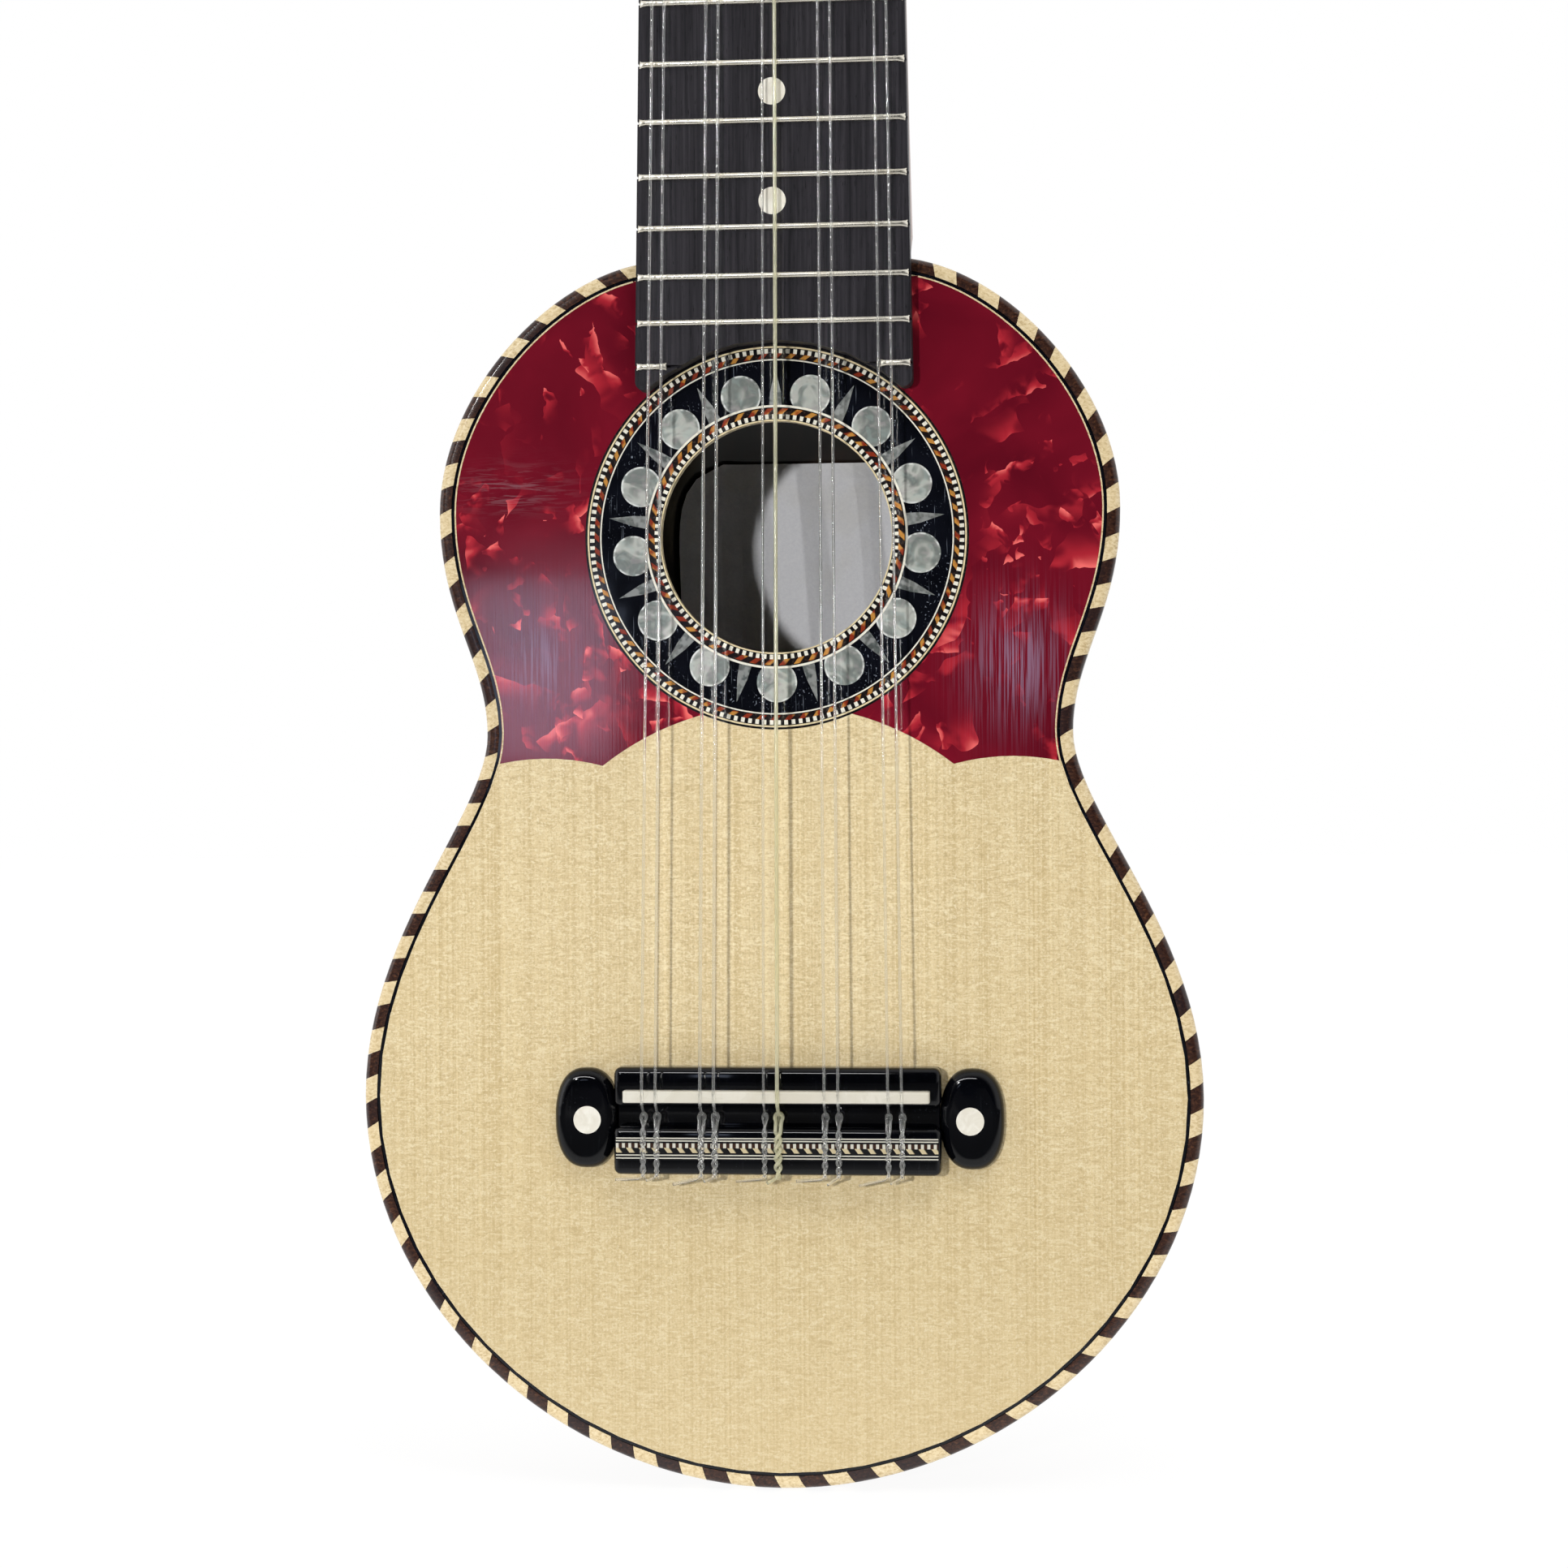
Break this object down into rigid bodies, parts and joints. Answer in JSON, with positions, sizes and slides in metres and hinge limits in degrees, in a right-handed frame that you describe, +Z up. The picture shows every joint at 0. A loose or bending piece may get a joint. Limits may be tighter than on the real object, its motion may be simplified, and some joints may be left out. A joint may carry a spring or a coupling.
{
  "type": "charango",
  "caption": "Small Andean lute with a carved bowl back, inlaid soundboard, double-course strings and geared tuners on a slotted head.",
  "frame": {"origin": "bottom of the tail, centred across the width and the overall depth", "axes": "+Z up the neck from tail to head, -Y out of the soundboard towards the player's listener, +X to the right seen from the front"},
  "size_m": [0.1798, 0.0895, 0.6181],
  "materials": {
    "bowl_wood": "gloss lacquer over carved hardwood",
    "neck_wood": "gloss lacquer over cedar",
    "ebony": "satin, fine vertical grain",
    "spruce": "gloss lacquer, fine vertical grain with silky cross flecks",
    "brace_wood": "bare, matt",
    "label_paper": "plain matt paper",
    "red_pearloid": "high gloss crimson pearloid",
    "light_binding": "gloss lacquer",
    "dark_binding": "gloss lacquer",
    "black_line": "gloss lacquer",
    "black_lacquer": "high gloss black",
    "rosette_mosaic": "gloss lacquer over coloured wood mosaic",
    "pearl": "mother-of-pearl, iridescent",
    "fret_metal": "polished nickel silver",
    "white_dot": "polished",
    "bone": "polished bone",
    "bridge_mosaic": "gloss lacquer over coloured wood mosaic",
    "tuner_brass": "polished plate",
    "roller_steel": "turned steel",
    "nylon": "clear nylon",
    "wound_nylon": "tinted nylon"
  },
  "bodies": {
    "instrument": {"body_bowl": "bowl_wood", "neck": "neck_wood", "headstock": "neck_wood", "head_veneer": "ebony", "soundboard": "spruce", "cross_braces": "brace_wood", "fan_braces": "brace_wood", "bridge_patch": "brace_wood", "blank_label": "label_paper", "pearloid_plate": "red_pearloid", "binding_light": "light_binding", "binding_dark": "dark_binding", "purfling_line": "black_line", "rosette_field": "black_lacquer", "rosette_outer_ring": "rosette_mosaic", "rosette_inner_ring": "rosette_mosaic", "rosette_discs": "pearl", "rosette_spikes": "pearl", "fretboard": "ebony", "frets": "fret_metal", "fret_dots": "white_dot", "nut": "bone", "bridge": "black_lacquer", "bridge_dots": "white_dot", "bridge_inlay": "bridge_mosaic", "saddle": "bone", "tuner_plate_left": "tuner_brass", "tuner_plate_right": "tuner_brass", "plate_screws": "tuner_brass", "string_1": "nylon", "string_2": "nylon", "string_3": "nylon", "string_4": "nylon", "string_5": "nylon", "string_6": "wound_nylon", "string_7": "nylon", "string_8": "nylon", "string_9": "nylon", "string_10": "nylon"},
    "tuner_key_1": {"tuner_key_1": "tuner_brass"},
    "roller_1": {"roller_1": "roller_steel"},
    "tuner_key_2": {"tuner_key_2": "tuner_brass"},
    "roller_2": {"roller_2": "roller_steel"},
    "tuner_key_3": {"tuner_key_3": "tuner_brass"},
    "roller_3": {"roller_3": "roller_steel"},
    "tuner_key_4": {"tuner_key_4": "tuner_brass"},
    "roller_4": {"roller_4": "roller_steel"},
    "tuner_key_5": {"tuner_key_5": "tuner_brass"},
    "roller_5": {"roller_5": "roller_steel"},
    "tuner_key_6": {"tuner_key_6": "tuner_brass"},
    "roller_6": {"roller_6": "roller_steel"},
    "tuner_key_7": {"tuner_key_7": "tuner_brass"},
    "roller_7": {"roller_7": "roller_steel"},
    "tuner_key_8": {"tuner_key_8": "tuner_brass"},
    "roller_8": {"roller_8": "roller_steel"},
    "tuner_key_9": {"tuner_key_9": "tuner_brass"},
    "roller_9": {"roller_9": "roller_steel"},
    "tuner_key_10": {"tuner_key_10": "tuner_brass"},
    "roller_10": {"roller_10": "roller_steel"}
  },
  "joints": [
    {"name": "tuner_key_1_turn", "type": "hinge", "parent": "instrument", "child": "tuner_key_1", "pos_m": [-0.0378, -0.02046, 0.49452], "axis": [0, 0.9848, -0.1736], "continuous": true},
    {"name": "tuner_key_2_turn", "type": "hinge", "parent": "instrument", "child": "tuner_key_2", "pos_m": [-0.0378, -0.01647, 0.51717], "axis": [0, 0.9848, -0.1736], "continuous": true},
    {"name": "tuner_key_3_turn", "type": "hinge", "parent": "instrument", "child": "tuner_key_3", "pos_m": [-0.0378, -0.01248, 0.53982], "axis": [0, 0.9848, -0.1736], "continuous": true},
    {"name": "tuner_key_4_turn", "type": "hinge", "parent": "instrument", "child": "tuner_key_4", "pos_m": [-0.0378, -0.00848, 0.56247], "axis": [0, 0.9848, -0.1736], "continuous": true},
    {"name": "tuner_key_5_turn", "type": "hinge", "parent": "instrument", "child": "tuner_key_5", "pos_m": [-0.0378, -0.00449, 0.58512], "axis": [0, 0.9848, -0.1736], "continuous": true},
    {"name": "tuner_key_6_turn", "type": "hinge", "parent": "instrument", "child": "tuner_key_6", "pos_m": [0.0378, -0.00449, 0.58512], "axis": [0, 0.9848, -0.1736], "continuous": true},
    {"name": "tuner_key_7_turn", "type": "hinge", "parent": "instrument", "child": "tuner_key_7", "pos_m": [0.0378, -0.00848, 0.56247], "axis": [0, 0.9848, -0.1736], "continuous": true},
    {"name": "tuner_key_8_turn", "type": "hinge", "parent": "instrument", "child": "tuner_key_8", "pos_m": [0.0378, -0.01248, 0.53982], "axis": [0, 0.9848, -0.1736], "continuous": true},
    {"name": "tuner_key_9_turn", "type": "hinge", "parent": "instrument", "child": "tuner_key_9", "pos_m": [0.0378, -0.01647, 0.51717], "axis": [0, 0.9848, -0.1736], "continuous": true},
    {"name": "tuner_key_10_turn", "type": "hinge", "parent": "instrument", "child": "tuner_key_10", "pos_m": [0.0378, -0.02046, 0.49452], "axis": [0, 0.9848, -0.1736], "continuous": true},
    {"name": "roller_1_turn", "type": "hinge", "parent": "instrument", "child": "roller_1", "pos_m": [-0.0378, -0.02189, 0.48644], "axis": [1, 0, 0], "continuous": true},
    {"name": "roller_2_turn", "type": "hinge", "parent": "instrument", "child": "roller_2", "pos_m": [-0.0378, -0.01789, 0.50909], "axis": [1, 0, 0], "continuous": true},
    {"name": "roller_3_turn", "type": "hinge", "parent": "instrument", "child": "roller_3", "pos_m": [-0.0378, -0.0139, 0.53174], "axis": [1, 0, 0], "continuous": true},
    {"name": "roller_4_turn", "type": "hinge", "parent": "instrument", "child": "roller_4", "pos_m": [-0.0378, -0.00991, 0.55439], "axis": [1, 0, 0], "continuous": true},
    {"name": "roller_5_turn", "type": "hinge", "parent": "instrument", "child": "roller_5", "pos_m": [-0.0378, -0.00591, 0.57704], "axis": [1, 0, 0], "continuous": true},
    {"name": "roller_6_turn", "type": "hinge", "parent": "instrument", "child": "roller_6", "pos_m": [0.0378, -0.00591, 0.57704], "axis": [1, 0, 0], "continuous": true},
    {"name": "roller_7_turn", "type": "hinge", "parent": "instrument", "child": "roller_7", "pos_m": [0.0378, -0.00991, 0.55439], "axis": [1, 0, 0], "continuous": true},
    {"name": "roller_8_turn", "type": "hinge", "parent": "instrument", "child": "roller_8", "pos_m": [0.0378, -0.0139, 0.53174], "axis": [1, 0, 0], "continuous": true},
    {"name": "roller_9_turn", "type": "hinge", "parent": "instrument", "child": "roller_9", "pos_m": [0.0378, -0.01789, 0.50909], "axis": [1, 0, 0], "continuous": true},
    {"name": "roller_10_turn", "type": "hinge", "parent": "instrument", "child": "roller_10", "pos_m": [0.0378, -0.02189, 0.48644], "axis": [1, 0, 0], "continuous": true}
  ],
  "couplings": [
    {"joint": "roller_1_turn", "follows": "tuner_key_1_turn", "ratio": 0.071429},
    {"joint": "roller_2_turn", "follows": "tuner_key_2_turn", "ratio": 0.071429},
    {"joint": "roller_3_turn", "follows": "tuner_key_3_turn", "ratio": 0.071429},
    {"joint": "roller_4_turn", "follows": "tuner_key_4_turn", "ratio": 0.071429},
    {"joint": "roller_5_turn", "follows": "tuner_key_5_turn", "ratio": 0.071429},
    {"joint": "roller_6_turn", "follows": "tuner_key_6_turn", "ratio": 0.071429},
    {"joint": "roller_7_turn", "follows": "tuner_key_7_turn", "ratio": 0.071429},
    {"joint": "roller_8_turn", "follows": "tuner_key_8_turn", "ratio": 0.071429},
    {"joint": "roller_9_turn", "follows": "tuner_key_9_turn", "ratio": 0.071429},
    {"joint": "roller_10_turn", "follows": "tuner_key_10_turn", "ratio": 0.071429}
  ]
}
